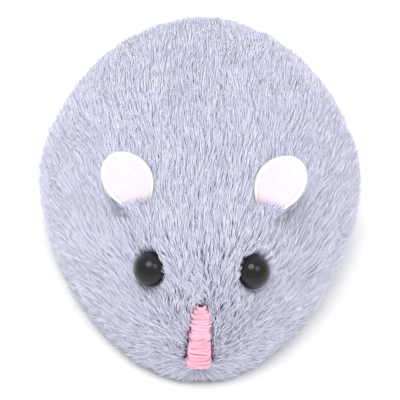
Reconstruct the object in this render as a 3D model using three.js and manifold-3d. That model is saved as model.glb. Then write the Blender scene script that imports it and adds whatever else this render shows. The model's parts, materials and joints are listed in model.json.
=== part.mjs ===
// Clockwork mouse: a plush mouse on a wind-up drive.
// Millimetres, +Z up. The nose points along -Y, and right is +X, as seen from in front.
// The origin is under the middle of the object, on the floor that the wheels stand on.
import * as THREE from "three";
import { mergeVertices } from "three/addons/utils/BufferGeometryUtils.js";
import Module from "manifold-3d";

const wasm = await Module();
wasm.setup();

// ---------------------------------------------------------------- driving dimensions

// The body is a dome over a teardrop plan: round behind its centre, tapered ahead of it.
const peltRear = 29.5;
const peltNose = 43.3;
const peltHeight = 33.5;
const equatorZ = 12;
const nosePower = 1.28;
const domePower = 1.75;
const tuckIn = 0.05;
const peltThickness = 3.8;
const shellThickness = 1.5;
const gap = 0.3;

// How far the tail reaches behind the body's centre.
const tailReach = 47;
const centreY = (peltNose - tailReach) / 2;

// Heights of the underside, from the floor up.
const plateBottom = 1.6;
const plateTop = 3.2;
const peltBottom = 2;
const hemTop = 2.8;
const shellBottom = hemTop + gap;

// Running gear.
const wheelRadius = 8.5;
const wheelWidth = 4;
const wheelInnerX = 12;
const tyreThickness = 1.3;
const axleRadius = 1.25;
const rollerRadius = 4;
const rollerHalfWidth = 5;
const rollerEdge = 0.5;
const rollerAxleRadius = 0.75;
const rollerForward = 26.5;
const hubRadius = 3;
const hubRimThickness = 1.2;
const hubWebX = [1.2, 2.6];
const tyreEdge = 0.4;

// Base plate: the yokes that carry the roller, and the room round what turns in its slots.
const yokeInnerX = rollerHalfWidth + 0.9;
const yokeThickness = 1.2;
const yokeHalfLength = 1.8;
const yokeTopZ = rollerRadius + 2.2;
const slotRoom = 0.6;

// Gear train: a 30 tooth wheel drives a 12 tooth pinion, twice.
const gearModule = 0.5;
const pressureAngle = THREE.MathUtils.degToRad(25);
const wheelTeeth = 30;
const pinionTeeth = 12;
const addendum = 0.4;
const dedendum = 0.55;
const toothThinning = 0.08;
const centreDistance = (gearModule * (wheelTeeth + pinionTeeth)) / 2 + 0.15;
const shaftRadius = 1.2;
const arborRadius = 1.6;
const fitClearance = 0.2;
const runningClearance = 0.25;

// How far a cutting tool runs past a face, and what a faceted ball loses on its radius.
const overrun = 1;
const facetLoss = 0.1;

// Shaft places in the side plane: forward of the body's centre, and height.
const axleAt = { forward: -1, z: wheelRadius };
const arborAt = { forward: -12, z: 12.9 };
const idlerAt = apexOver(arborAt, axleAt, centreDistance);

// Stations along the shafts.
const boxLeftX = -8.8;
const boxPlate = 1.2;
const boxJointX = 5.5;
const boxRightX = boxJointX + gap + boxPlate;
const boxWall = 0.9;
const boxRoom = 0.4;
const lugRadius = 2.2;
const springX = [-7.2, -2.3];
const greatGearX = [-1.6, 1.4];
const idlerPinionX = [-1.9, 2.4];
const idlerGearX = [1.7, 4.4];
const axlePinionX = [1.9, 4.9];
const arborEndX = 24.4;

// Winding key.
const keyRadius = 4.2;
const keyHubRadius = 2.5;
const keyX = [23.2, 27.4];
const keyWingX = 24.7;
const keyThickness = 1.8;
const keyholeRadius = 6;
const keyholeCutX = 9;

// Screws.
const screwRadius = 0.8;
const screwHeadRadius = 1.5;
const screwHeadHeight = 0.9;
const screwClearance = 0.25;
const screwTipRoom = 0.8;
const bossRadius = 2.3;
const bossFootZ = plateTop + gap;
const bossHoleTop = 11;
const baseScrewsAt = [
  { name: "base_screw_rear_left", x: -12, forward: -15.5 },
  { name: "base_screw_rear_right", x: 12, forward: -15.5 },
  { name: "base_screw_front_left", x: -11, forward: 20.5 },
  { name: "base_screw_front_right", x: 11, forward: 20.5 },
];
const footRadius = 1.9;
const footHoleTop = 8;
const caseScrewLength = 10;
const boxScrewsAt = [
  { name: "gearbox_screw_rear", x: -1, forward: -19.5, footTop: 9.5 },
  { name: "gearbox_screw_front", x: -1, forward: 5.4, footTop: 9 },
];
const caseScrewsAt = [
  { name: "case_screw_top", forward: 5.6, z: 24.6 },
  { name: "case_screw_front", forward: 5.4, z: 10.2 },
  { name: "case_screw_rear", forward: -15.6, z: 22.8 },
];

// Face.
const eyeAt = { x: 9.1, z: 22.8 };
const eyeRadius = 3;
const eyeSink = 0.6;
const eyeStemRadius = 0.9;
const eyeWasherThickness = 0.8;
const earAt = { x: 11.6, z: 29.5 };
const earLength = 10.8;
const earWidth = 8.8;
const earThickness = 1;
const liningThickness = 0.4;
const earLeanBack = THREE.MathUtils.degToRad(38);
const earLeanOut = THREE.MathUtils.degToRad(18);
const earTabWidth = 4.6;
const earTabDepth = 2.4;
const liningWidthShare = 0.7;
const liningLengthShare = 0.76;
const liningRaise = 0.14;
const noseHalfWidth = 1.9;
const noseTopZ = 19;
const noseBottomZ = 6.2;
const noseThickness = 1.1;

// Tail: a strip cut from felt.
const tailThickness = 1.2;
const tailZ = 7;
const tailRootWidth = 4.4;
const tailTipWidth = 2.4;
const tailSweepX = 12;
const tailGrip = 2.6;

// ---------------------------------------------------------------- materials

function material(hex, roughness, metalness) {
  return new THREE.MeshStandardMaterial({ color: hex, roughness, metalness });
}

const plush = material(0xcfcde4, 1, 0);
const hemCloth = material(0xb9b6d0, 1, 0);
const whiteFelt = material(0xf7f5f6, 0.9, 0);
const pinkFelt = material(0xf6dfea, 0.9, 0);
const pinkThread = material(0xf3a6c0, 0.7, 0);
const blackBead = material(0x17171a, 0.12, 0);
const greyPlastic = material(0x8f8fa0, 0.45, 0);
const whitePlastic = material(0xe9e7e2, 0.4, 0);
const blackRubber = material(0x1e1e20, 0.85, 0);
const steel = material(0xb5b8bc, 0.3, 1);
const springSteel = material(0x5d6f8c, 0.35, 1);

// ---------------------------------------------------------------- solids and placing

// A solid for cutting and joining: shared vertices merged, flat triangles dropped.
function toSolid(geometry) {
  const bare = geometry.clone();
  bare.deleteAttribute("normal");
  bare.deleteAttribute("uv");
  const merged = mergeVertices(bare, 1e-4);
  const corners = merged.index.array;
  const triangles = [];
  for (let i = 0; i < corners.length; i += 3) {
    const [a, b, c] = corners.slice(i, i + 3);
    if (a !== b && b !== c && c !== a) {
      triangles.push(a, b, c);
    }
  }
  const vertProperties = new Float32Array(merged.attributes.position.array);
  const triVerts = new Uint32Array(triangles);
  return new wasm.Manifold(new wasm.Mesh({ numProp: 3, vertProperties, triVerts }));
}

function toGeometry(solid) {
  const mesh = solid.getMesh();
  const geometry = new THREE.BufferGeometry();
  geometry.setAttribute("position", new THREE.BufferAttribute(mesh.vertProperties, 3));
  geometry.setIndex(new THREE.BufferAttribute(mesh.triVerts, 1));
  geometry.computeVertexNormals();
  return geometry;
}

function join(first, ...others) {
  return others.reduce((sum, geometry) => sum.add(toSolid(geometry)), toSolid(first));
}

function cut(solid, ...tools) {
  return tools.reduce((rest, geometry) => rest.subtract(toSolid(geometry)), solid);
}

// A place in the side plane as an outline point: Y across, Z up.
function sidePoint(place) {
  return new THREE.Vector2(centreY - place.forward, place.z);
}

// The corner above a base line whose two equal sides have the given length.
function apexOver(left, right, side) {
  const run = right.forward - left.forward;
  const rise = right.z - left.z;
  const base = Math.hypot(run, rise);
  const height = Math.sqrt(side * side - (base * base) / 4);
  return {
    forward: (left.forward + right.forward) / 2 - (rise / base) * height,
    z: (left.z + right.z) / 2 + (run / base) * height,
  };
}

// Turns an outline drawn in Y and Z into a slab between two places along X.
function sideExtrude(shape, x0, x1) {
  const settings = { depth: x1 - x0, bevelEnabled: false, curveSegments: 8 };
  const geometry = new THREE.ExtrudeGeometry(shape, settings);
  const sideways = new THREE.Matrix4().makeBasis(
    new THREE.Vector3(0, 1, 0),
    new THREE.Vector3(0, 0, 1),
    new THREE.Vector3(1, 0, 0),
  );
  return geometry.applyMatrix4(sideways).translate(x0, 0, 0);
}

// Turns an outline drawn in X and Y into a slab between two heights.
function planExtrude(shape, z0, z1) {
  const geometry = new THREE.ExtrudeGeometry(shape, { depth: z1 - z0, bevelEnabled: false });
  return geometry.translate(0, 0, z0);
}

// A solid of revolution about X from [radius, x] pairs that run from one end to the other.
function turnedAlongX(profile, segments) {
  const points = profile.map(([radius, x]) => new THREE.Vector2(radius, x));
  return new THREE.LatheGeometry(points, segments).rotateZ(-Math.PI / 2);
}

// The same about Z, from [radius, z] pairs.
function turnedAlongZ(profile, segments) {
  const points = profile.map(([radius, z]) => new THREE.Vector2(radius, z));
  return new THREE.LatheGeometry(points, segments).rotateX(Math.PI / 2);
}

function rodAlongX(place, radius, x0, x1, segments) {
  const profile = [[0, x0], [radius, x0], [radius, x1], [0, x1]];
  return turnedAlongX(profile, segments).translate(0, centreY - place.forward, place.z);
}

function rodAlongZ(x, forward, radius, z0, z1, segments) {
  const profile = [[0, z0], [radius, z0], [radius, z1], [0, z1]];
  return turnedAlongZ(profile, segments).translate(x, centreY - forward, 0);
}

function box(x0, x1, forward0, forward1, z0, z1) {
  const geometry = new THREE.BoxGeometry(x1 - x0, forward1 - forward0, z1 - z0);
  return geometry.translate((x0 + x1) / 2, centreY - (forward0 + forward1) / 2, (z0 + z1) / 2);
}

// ---------------------------------------------------------------- the body's dome

// A point of the plan outline: a half circle behind the centre, tapered ahead of it.
function planPoint(angle, rear, nose) {
  const ahead = Math.cos(angle);
  return {
    x: rear * Math.sin(angle),
    forward: ahead > 0 ? nose * ahead ** (2 / nosePower) : rear * ahead,
  };
}

// The dome's plan scale at a height: full at the equator, drawn in a little below it.
function sectionScale(z, height) {
  if (z < equatorZ) {
    return 1 - tuckIn * ((equatorZ - z) / (equatorZ - peltBottom)) ** 2;
  }
  return Math.max(0, 1 - ((z - equatorZ) / height) ** domePower) ** (1 / domePower);
}

// The dome drawn in by an inset, as a closed solid with a flat bottom.
function dome(inset, bottomZ, { rings, segments }) {
  const height = peltHeight - inset;
  const profile = [[0, bottomZ]];
  for (let i = 0; i < 2; i += 1) {
    const z = bottomZ + ((equatorZ - bottomZ) * i) / 2;
    profile.push([sectionScale(z, height), z]);
  }
  for (let i = 0; i < rings; i += 1) {
    const angle = (i / rings) * (Math.PI / 2);
    const z = equatorZ + height * Math.sin(angle) ** (2 / domePower);
    profile.push([sectionScale(z, height), z]);
  }
  profile.push([0, equatorZ + height]);
  const geometry = turnedAlongZ(profile, segments);
  const position = geometry.attributes.position;
  for (let i = 0; i < position.count; i += 1) {
    const x = position.getX(i);
    const y = position.getY(i);
    const scale = Math.hypot(x, y);
    const point = planPoint(Math.atan2(x, -y), peltRear - inset, peltNose - inset);
    position.setX(i, scale * point.x);
    position.setY(i, centreY - scale * point.forward);
  }
  return geometry;
}

// The plan outline drawn in by an inset, at the scale it has at a height.
function planOutline(inset, z, Kind) {
  const scale = sectionScale(z, peltHeight - inset);
  const outline = new Kind();
  const steps = 36;
  for (let i = 0; i < steps; i += 1) {
    const angle = (i / steps) * 2 * Math.PI;
    const point = planPoint(angle, peltRear - inset, peltNose - inset);
    outline[i === 0 ? "moveTo" : "lineTo"](scale * point.x, centreY - scale * point.forward);
  }
  outline.closePath();
  return outline;
}

// How far forward the dome's surface is at a distance aside and a height.
function domeForward(x, z, inset) {
  const scale = sectionScale(z, peltHeight - inset);
  const aside = x / (scale * (peltRear - inset));
  return scale * (peltNose - inset) * (1 - aside ** 2) ** (1 / nosePower);
}

// The outward direction of the pelt's front at a distance aside and a height.
function domeNormal(x, z) {
  const step = 0.05;
  const slopeX = (domeForward(x + step, z, 0) - domeForward(x - step, z, 0)) / (2 * step);
  const slopeZ = (domeForward(x, z + step, 0) - domeForward(x, z - step, 0)) / (2 * step);
  return new THREE.Vector3(-slopeX, -1, -slopeZ).normalize();
}

const shellInset = peltThickness + gap;
const shellInsideInset = shellInset + shellThickness;
const hemInsideInset = shellInsideInset + fitClearance;
const insets = {
  pelt: 0,
  lining: peltThickness,
  shell: shellInset,
  shellInside: shellInsideInset,
  hemInside: hemInsideInset,
  plate: hemInsideInset + gap,
};

// ---------------------------------------------------------------- face pieces

// A petal with a straight tab below its root, for an ear or its lining.
function petal(width, length, tabWidth, tabDepth) {
  const shape = new THREE.Shape();
  shape.moveTo(-tabWidth / 2, -tabDepth);
  shape.lineTo(tabWidth / 2, -tabDepth);
  shape.lineTo(tabWidth / 2, 0);
  shape.bezierCurveTo(width * 0.42, length * 0.16, width * 0.5, length * 0.36, width / 2, length * 0.56);
  shape.bezierCurveTo(width / 2, length * 0.84, width * 0.28, length, 0, length);
  shape.bezierCurveTo(-width * 0.28, length, -width / 2, length * 0.84, -width / 2, length * 0.56);
  shape.bezierCurveTo(-width / 2, length * 0.36, -width * 0.42, length * 0.16, -tabWidth / 2, 0);
  shape.closePath();
  return shape;
}

function petalSlab(shape, back, front) {
  const settings = { depth: front - back, bevelEnabled: false, curveSegments: 6 };
  return new THREE.ExtrudeGeometry(shape, settings).translate(0, 0, back);
}

// Stands an ear piece on the head: it leans back and out on its own side.
function placeEarPiece(object, side) {
  const forward = domeForward(earAt.x, earAt.z, insets.pelt);
  object.position.set(side * earAt.x, centreY - forward, earAt.z);
  object.rotation.x = Math.PI / 2 - earLeanBack;
  object.rotateZ(-side * earLeanOut);
  object.updateMatrix();
  return object;
}

const ear = petalSlab(petal(earWidth, earLength, earTabWidth, earTabDepth), 0, earThickness);
const liningFront = earThickness + gap + liningThickness;
const liningOutline = petal(
  earWidth * liningWidthShare,
  earLength * liningLengthShare,
  earTabWidth * liningWidthShare,
  0,
);
const earLining = petalSlab(liningOutline, earThickness + gap, liningFront)
  .translate(0, earLength * liningRaise, 0);

function earPocket(side) {
  const outline = petal(
    earWidth + 2 * gap,
    earLength + gap,
    earTabWidth + 2 * gap,
    earTabDepth + gap,
  );
  const pocket = placeEarPiece(new THREE.Object3D(), side);
  return petalSlab(outline, -gap, liningFront + gap).applyMatrix4(pocket.matrix);
}

// Stands a piece on the face with its +Z along the pelt's outward direction there.
function placeEyePiece(object, side) {
  const forward = domeForward(eyeAt.x, eyeAt.z, insets.pelt);
  const outward = domeNormal(eyeAt.x, eyeAt.z);
  outward.x *= side;
  object.position.set(side * eyeAt.x, centreY - forward, eyeAt.z);
  object.quaternion.setFromUnitVectors(new THREE.Vector3(0, 0, 1), outward);
  object.updateMatrix();
  return object;
}

// The washer clears the shell's curve inside, and the stem's end stands out of the washer.
const eyeWasherTop = -(insets.shellInside + 0.7);
const eyeWasherZ = [eyeWasherTop - eyeWasherThickness, eyeWasherTop];
const eyeStemEnd = eyeWasherZ[0] - 1.1;

// A glossy bead whose stem goes through the pelt and the shell.
function eyeBead() {
  const profile = [[0, eyeStemEnd], [eyeStemRadius, eyeStemEnd]];
  const steps = 7;
  const start = Math.asin(eyeStemRadius / eyeRadius);
  for (let i = 0; i <= steps; i += 1) {
    const angle = start + ((Math.PI - start) * i) / steps;
    const radius = i === steps ? 0 : eyeRadius * Math.sin(angle);
    profile.push([radius, -eyeSink - eyeRadius * Math.cos(angle)]);
  }
  return turnedAlongZ(profile, 16);
}

function eyeWasher() {
  const inner = eyeStemRadius + fitClearance;
  const outer = eyeRadius - 0.4;
  const [z0, z1] = eyeWasherZ;
  return turnedAlongZ([[inner, z0], [outer, z0], [outer, z1], [inner, z1], [inner, z0]], 12);
}

function eyePocket(side) {
  const room = eyeRadius + gap + facetLoss;
  const bead = new THREE.SphereGeometry(room, 12, 8).translate(0, 0, -eyeSink);
  const radius = eyeStemRadius + gap;
  const stem = turnedAlongZ([[0, eyeStemEnd], [radius, eyeStemEnd], [radius, 0], [0, 0]], 12);
  const place = placeEyePiece(new THREE.Object3D(), side);
  return [bead, stem].map((geometry) => geometry.applyMatrix4(place.matrix));
}

// A band that follows the front of the pelt, between two depths below its surface.
function noseBand(outer, inner, halfWidth, bottomZ, topZ) {
  const steps = 12;
  const front = [];
  const back = [];
  for (let i = 0; i <= steps; i += 1) {
    const z = bottomZ + ((topZ - bottomZ) * i) / steps;
    front.push(sidePoint({ forward: domeForward(0, z, outer), z }));
    back.push(sidePoint({ forward: domeForward(0, z, inner), z }));
  }
  return sideExtrude(new THREE.Shape([...front, ...back.reverse()]), -halfWidth, halfWidth);
}

// ---------------------------------------------------------------- pelt, hem and shell

const outerMesh = { rings: 9, segments: 40 };
const innerMesh = { rings: 7, segments: 32 };

function pelt() {
  const hollow = dome(insets.lining, peltBottom - overrun, innerMesh);
  const keyhole = rodAlongX(arborAt, keyholeRadius, keyholeCutX, peltRear + overrun, 24);
  const noseGroove = noseBand(
    -overrun,
    noseThickness + gap,
    noseHalfWidth + gap,
    noseBottomZ - gap,
    noseTopZ + gap,
  );
  const pockets = [-1, 1].flatMap((side) => [earPocket(side), ...eyePocket(side)]);
  const outside = toSolid(dome(insets.pelt, peltBottom, outerMesh));
  return toGeometry(cut(outside, hollow, keyhole, noseGroove, tailSlit(), ...pockets));
}

// The pelt's edge, turned in under the shell's rim.
function peltHem() {
  const ring = planOutline(insets.lining + gap, peltBottom, THREE.Shape);
  ring.holes.push(planOutline(insets.hemInside, peltBottom, THREE.Path));
  return planExtrude(ring, peltBottom, hemTop);
}

// The rigid dome under the pelt, with posts that take the screws of the base plate.
function bodyShell() {
  const outside = toSolid(dome(insets.shell, shellBottom, innerMesh));
  const inside = dome(insets.shellInside, shellBottom - overrun, innerMesh);
  const posts = baseScrewsAt.map(({ x, forward }) => (
    toSolid(rodAlongZ(x, forward, bossRadius, bossFootZ, equatorZ + peltHeight, 16))
      .intersect(outside)
  ));
  const hollowed = posts.reduce((sum, post) => sum.add(post), cut(outside, inside));
  const holes = baseScrewsAt.map(({ x, forward }) => (
    rodAlongZ(x, forward, screwRadius + screwClearance, bossFootZ - overrun, bossHoleTop, 12)
  ));
  const arborHole = rodAlongX(arborAt, keyHubRadius + gap, keyholeCutX, peltRear, 16);
  const stems = [-1, 1].map((side) => eyePocket(side)[1]);
  return toGeometry(cut(hollowed, ...holes, arborHole, ...stems));
}

// ---------------------------------------------------------------- base plate

function basePlate() {
  const plate = planExtrude(planOutline(insets.plate, plateBottom, THREE.Shape), plateBottom, plateTop);
  const yokes = [-1, 1].map((side) => {
    const outer = yokeInnerX + yokeThickness;
    return box(
      side < 0 ? -outer : yokeInnerX,
      side < 0 ? -yokeInnerX : outer,
      rollerForward - yokeHalfLength,
      rollerForward + yokeHalfLength,
      (plateBottom + plateTop) / 2,
      yokeTopZ,
    );
  });
  const slotReach = Math.sqrt(wheelRadius ** 2 - (wheelRadius - plateTop) ** 2) + slotRoom;
  const wheelSlots = [-1, 1].map((side) => {
    const middle = side * (wheelInnerX + wheelWidth / 2);
    return box(
      middle - wheelWidth / 2 - slotRoom,
      middle + wheelWidth / 2 + slotRoom,
      axleAt.forward - slotReach,
      axleAt.forward + slotReach,
      plateBottom - overrun,
      plateTop + overrun,
    );
  });
  const rollerSlot = box(
    -rollerHalfWidth - slotRoom,
    rollerHalfWidth + slotRoom,
    rollerForward - rollerRadius - slotRoom,
    rollerForward + rollerRadius + slotRoom,
    plateBottom - overrun,
    plateTop + overrun,
  );
  const rollerPlace = { forward: rollerForward, z: rollerRadius };
  const rollerBore = rodAlongX(
    rollerPlace,
    rollerAxleRadius + fitClearance,
    -yokeInnerX - yokeThickness - overrun,
    yokeInnerX + yokeThickness + overrun,
    12,
  );
  const below = plateBottom - overrun;
  const headTop = plateBottom + screwHeadHeight + fitClearance;
  const screwHoles = [...baseScrewsAt, ...boxScrewsAt].flatMap(({ x, forward }) => [
    rodAlongZ(x, forward, screwRadius + screwClearance, below, plateTop + overrun, 12),
    rodAlongZ(x, forward, screwHeadRadius + fitClearance, below, headTop, 16),
  ]);
  return toGeometry(cut(join(plate, ...yokes), ...wheelSlots, rollerSlot, rollerBore, ...screwHoles));
}

// A screw whose head is at z 0 and whose shank points along +Z.
function screw(length) {
  return turnedAlongZ(
    [
      [0, 0],
      [screwHeadRadius, 0],
      [screwHeadRadius, screwHeadHeight * 0.6],
      [screwRadius, screwHeadHeight],
      [screwRadius, length],
      [0, length],
    ],
    10,
  );
}

// ---------------------------------------------------------------- gearbox

// The outline of a belt drawn tight round some circles in the side plane.
function beltOutline(circles) {
  const points = circles.flatMap(({ at, radius }) => {
    const middle = sidePoint(at);
    return Array.from({ length: 28 }, (_, i) => {
      const angle = (i / 28) * 2 * Math.PI;
      return new THREE.Vector2(
        middle.x + radius * Math.cos(angle),
        middle.y + radius * Math.sin(angle),
      );
    });
  });
  points.sort((a, b) => a.x - b.x || a.y - b.y);
  const turn = (o, a, b) => (a.x - o.x) * (b.y - o.y) - (a.y - o.y) * (b.x - o.x);
  const chain = (ordered) => {
    const kept = [];
    for (const point of ordered) {
      while (kept.length > 1 && turn(kept.at(-2), kept.at(-1), point) <= 1e-9) {
        kept.pop();
      }
      kept.push(point);
    }
    return kept.slice(0, -1);
  };
  return new THREE.Shape([...chain(points), ...chain([...points].reverse())]);
}

const wheelTip = (gearModule * wheelTeeth) / 2 + addendum;
const pinionTip = (gearModule * pinionTeeth) / 2 + addendum;

function boxOutline(room) {
  return beltOutline([
    { at: arborAt, radius: wheelTip + room },
    { at: idlerAt, radius: wheelTip + room },
    { at: axleAt, radius: pinionTip + room },
  ]);
}

function boxBlank(x0, x1) {
  const lugs = caseScrewsAt.map((place) => rodAlongX(place, lugRadius, x0, x1, 16));
  return join(sideExtrude(boxOutline(boxRoom + boxWall), x0, x1), ...lugs);
}

// Holes that the shafts and the case screws pass through, between two places along X.
function boxBores(x0, x1) {
  return [
    rodAlongX(arborAt, arborRadius + runningClearance, x0, x1, 16),
    rodAlongX(idlerAt, shaftRadius + fitClearance, x0, x1, 16),
    rodAlongX(axleAt, axleRadius + runningClearance, x0, x1, 16),
    ...caseScrewsAt.map((place) => rodAlongX(place, screwRadius + screwClearance, x0, x1, 12)),
  ];
}

function gearboxCase() {
  const feet = boxScrewsAt.map(({ x, forward, footTop }) => (
    rodAlongZ(x, forward, footRadius, bossFootZ, footTop, 16)
  ));
  const footHoles = boxScrewsAt.map(({ x, forward }) => (
    rodAlongZ(x, forward, screwRadius + screwClearance, bossFootZ - overrun, footHoleTop, 12)
  ));
  const blank = feet.reduce((sum, foot) => sum.add(toSolid(foot)), boxBlank(boxLeftX, boxJointX));
  const room = sideExtrude(boxOutline(boxRoom), boxLeftX + boxPlate, boxJointX + overrun);
  const bores = boxBores(boxLeftX - overrun, boxJointX + overrun);
  return toGeometry(cut(blank, room, ...bores, ...footHoles));
}

function gearboxCover() {
  const x0 = boxJointX + gap;
  return toGeometry(cut(boxBlank(x0, boxRightX), ...boxBores(x0 - overrun, boxRightX + overrun)));
}

// ---------------------------------------------------------------- gears, spring and shafts

// An involute gear's outline about its own centre, with a tooth along +X of the outline.
function gearOutline(teeth, radii) {
  const pitchRadius = (gearModule * teeth) / 2;
  const baseRadius = pitchRadius * Math.cos(pressureAngle);
  const involute = (angle) => Math.tan(angle) - angle;
  const halfTooth = Math.PI / (2 * teeth) - toothThinning / (2 * pitchRadius);
  const halfAngle = (radius) => {
    const angle = Math.acos(Math.min(1, baseRadius / radius));
    return halfTooth + involute(pressureAngle) - involute(angle);
  };
  const points = [];
  for (let tooth = 0; tooth < teeth; tooth += 1) {
    const middle = (tooth / teeth) * 2 * Math.PI;
    const flank = [
      ...radii.map((radius) => [radius, middle - halfAngle(radius)]),
      ...radii.toReversed().map((radius) => [radius, middle + halfAngle(radius)]),
    ];
    for (const [radius, angle] of flank) {
      points.push(new THREE.Vector2(radius * Math.cos(angle), radius * Math.sin(angle)));
    }
  }
  return new THREE.Shape(points);
}

function bored(shape, radius) {
  const bore = new THREE.Path();
  bore.absarc(0, 0, radius, 0, 2 * Math.PI, true);
  shape.holes.push(bore);
  return shape;
}

function toothedWheel(x, boreRadius) {
  const pitch = (gearModule * wheelTeeth) / 2;
  const outline = gearOutline(wheelTeeth, [pitch - dedendum, pitch, pitch + addendum]);
  return sideExtrude(bored(outline, boreRadius), ...x);
}

function pinion(x, boreRadius) {
  const pitch = (gearModule * pinionTeeth) / 2;
  const base = pitch * Math.cos(pressureAngle);
  const outline = gearOutline(pinionTeeth, [pitch - dedendum, base, pitch, pitch + addendum]);
  return sideExtrude(bored(outline, boreRadius), ...x);
}

// The direction from one shaft to another in the side plane, as a turn about +X.
function bearing(from, to) {
  const step = sidePoint(to).sub(sidePoint(from));
  return Math.atan2(step.y, step.x);
}

const towardsIdler = bearing(arborAt, idlerAt);
const towardsAxle = bearing(idlerAt, axleAt);

// A pinion turned so that a gap of it, not a tooth, faces back along a bearing.
function gapFacing(angle) {
  return angle + Math.PI + Math.PI / pinionTeeth;
}

// The wheel and pinion that turn together on the idler shaft.
function idlerGear() {
  const bore = shaftRadius + runningClearance;
  const small = pinion(idlerPinionX, bore).rotateX(gapFacing(towardsIdler));
  const large = toothedWheel(idlerGearX, bore).rotateX(towardsAxle);
  return toGeometry(join(small, large));
}

// A flat strip wound round the arbor.
function mainspring() {
  const turns = 5;
  const stepsPerTurn = 16;
  const thickness = 0.45;
  const innerRadius = arborRadius + gap;
  const outerRadius = wheelTip - thickness - gap;
  const steps = turns * stepsPerTurn;
  const inner = [];
  const outer = [];
  for (let i = 0; i <= steps; i += 1) {
    const angle = (i / stepsPerTurn) * 2 * Math.PI;
    const radius = innerRadius + ((outerRadius - innerRadius) * i) / steps;
    const direction = new THREE.Vector2(Math.cos(angle), Math.sin(angle));
    inner.push(direction.clone().multiplyScalar(radius));
    outer.push(direction.multiplyScalar(radius + thickness));
  }
  return sideExtrude(new THREE.Shape([...inner.reverse(), ...outer]), ...springX);
}

function shaft(radius, x0, x1) {
  const chamfer = 0.25;
  return turnedAlongX(
    [
      [0, x0],
      [radius - chamfer, x0],
      [radius, x0 + chamfer],
      [radius, x1 - chamfer],
      [radius - chamfer, x1],
      [0, x1],
    ],
    16,
  );
}

// The key: a socket on the arbor's end and a flat grip with rounded ends.
function windingKey() {
  const [x0, x1] = keyX;
  const grip = new THREE.Shape();
  const end = (x1 - keyWingX) / 2;
  const reach = keyRadius - end;
  const middle = (keyWingX + x1) / 2;
  grip.absarc(middle, reach, end, 0, Math.PI, false);
  grip.absarc(middle, -reach, end, Math.PI, 2 * Math.PI, false);
  const settings = { depth: keyThickness, bevelEnabled: false, curveSegments: 8 };
  const wing = new THREE.ExtrudeGeometry(grip, settings).translate(0, 0, -keyThickness / 2);
  const hubEnd = keyWingX + 0.5;
  const hub = turnedAlongX([[0, x0], [keyHubRadius, x0], [keyHubRadius, hubEnd], [0, hubEnd]], 16);
  const bore = turnedAlongX(
    [
      [0, x0 - overrun],
      [arborRadius + fitClearance, x0 - overrun],
      [arborRadius + fitClearance, arborEndX + gap],
      [0, arborEndX + gap],
    ],
    16,
  );
  return toGeometry(cut(join(hub, wing), bore));
}

// ---------------------------------------------------------------- wheels and roller

const hubSegments = 24;
const tyreSegments = 28;

// A wheel centred on its own axis, from its inner face at x 0 outwards.
function wheelHub() {
  const bore = axleRadius + fitClearance;
  const rim = wheelRadius - tyreThickness - fitClearance;
  const rimInside = rim - hubRimThickness;
  const [webX0, webX1] = hubWebX;
  return turnedAlongX(
    [
      [bore, 0],
      [hubRadius, 0],
      [hubRadius, webX0],
      [rimInside, webX0],
      [rimInside, 0],
      [rim, 0],
      [rim, wheelWidth],
      [rimInside, wheelWidth],
      [rimInside, webX1],
      [hubRadius, webX1],
      [hubRadius, wheelWidth],
      [bore, wheelWidth],
      [bore, 0],
    ],
    hubSegments,
  );
}

function tyre() {
  const inner = wheelRadius - tyreThickness;
  const shoulder = wheelRadius - tyreEdge;
  return turnedAlongX(
    [
      [inner, 0],
      [shoulder, 0],
      [wheelRadius, tyreEdge],
      [wheelRadius, wheelWidth - tyreEdge],
      [shoulder, wheelWidth],
      [inner, wheelWidth],
      [inner, 0],
    ],
    tyreSegments,
  );
}

function frontRoller() {
  const bore = rollerAxleRadius + runningClearance;
  return turnedAlongX(
    [
      [bore, -rollerHalfWidth],
      [rollerRadius - rollerEdge, -rollerHalfWidth],
      [rollerRadius, -rollerHalfWidth + rollerEdge],
      [rollerRadius, rollerHalfWidth - rollerEdge],
      [rollerRadius - rollerEdge, rollerHalfWidth],
      [bore, rollerHalfWidth],
      [bore, -rollerHalfWidth],
    ],
    24,
  );
}

// ---------------------------------------------------------------- tail

// The tail leaves the rump through a slit and sweeps round to one side.
function tailPath() {
  return new THREE.CatmullRomCurve3([
    new THREE.Vector3(0, centreY + peltRear - tailGrip, 0),
    new THREE.Vector3(0, centreY + peltRear + 5, 0),
    new THREE.Vector3(tailSweepX * 0.28, centreY + peltRear + 12.5, 0),
    new THREE.Vector3(tailSweepX * 0.85, centreY + tailReach - 1.3, 0),
  ]);
}

function tail() {
  const path = tailPath();
  const steps = 12;
  const left = [];
  const right = [];
  for (let i = 0; i <= steps; i += 1) {
    const t = i / steps;
    const point = path.getPoint(t);
    const along = path.getTangent(t);
    const half = THREE.MathUtils.lerp(tailRootWidth, tailTipWidth, t) / 2;
    left.push(new THREE.Vector2(point.x - along.y * half, point.y + along.x * half));
    right.push(new THREE.Vector2(point.x + along.y * half, point.y - along.x * half));
  }
  const end = path.getPoint(1);
  const heading = path.getTangent(1);
  const nib = new THREE.Vector2(end.x, end.y).addScaledVector(heading, tailTipWidth / 2);
  return planExtrude(new THREE.Shape([...right, nib, ...left.reverse()]), tailZ, tailZ + tailThickness);
}

function tailSlit() {
  const half = tailRootWidth / 2 + gap;
  return box(
    -half,
    half,
    -peltRear - 2,
    -peltRear + tailGrip + gap,
    tailZ - gap,
    tailZ + tailThickness + gap,
  );
}

// ---------------------------------------------------------------- assembly

const mouse = new THREE.Group();
mouse.name = "clockwork_mouse";

function add(name, geometry, look, parent = mouse) {
  const mesh = new THREE.Mesh(geometry, look);
  mesh.name = name;
  parent.add(mesh);
  return mesh;
}

// A group that stands at a shaft's place in the side plane.
function shaftGroup(place) {
  const group = new THREE.Group();
  group.position.set(0, centreY - place.forward, place.z);
  mouse.add(group);
  return group;
}

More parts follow.
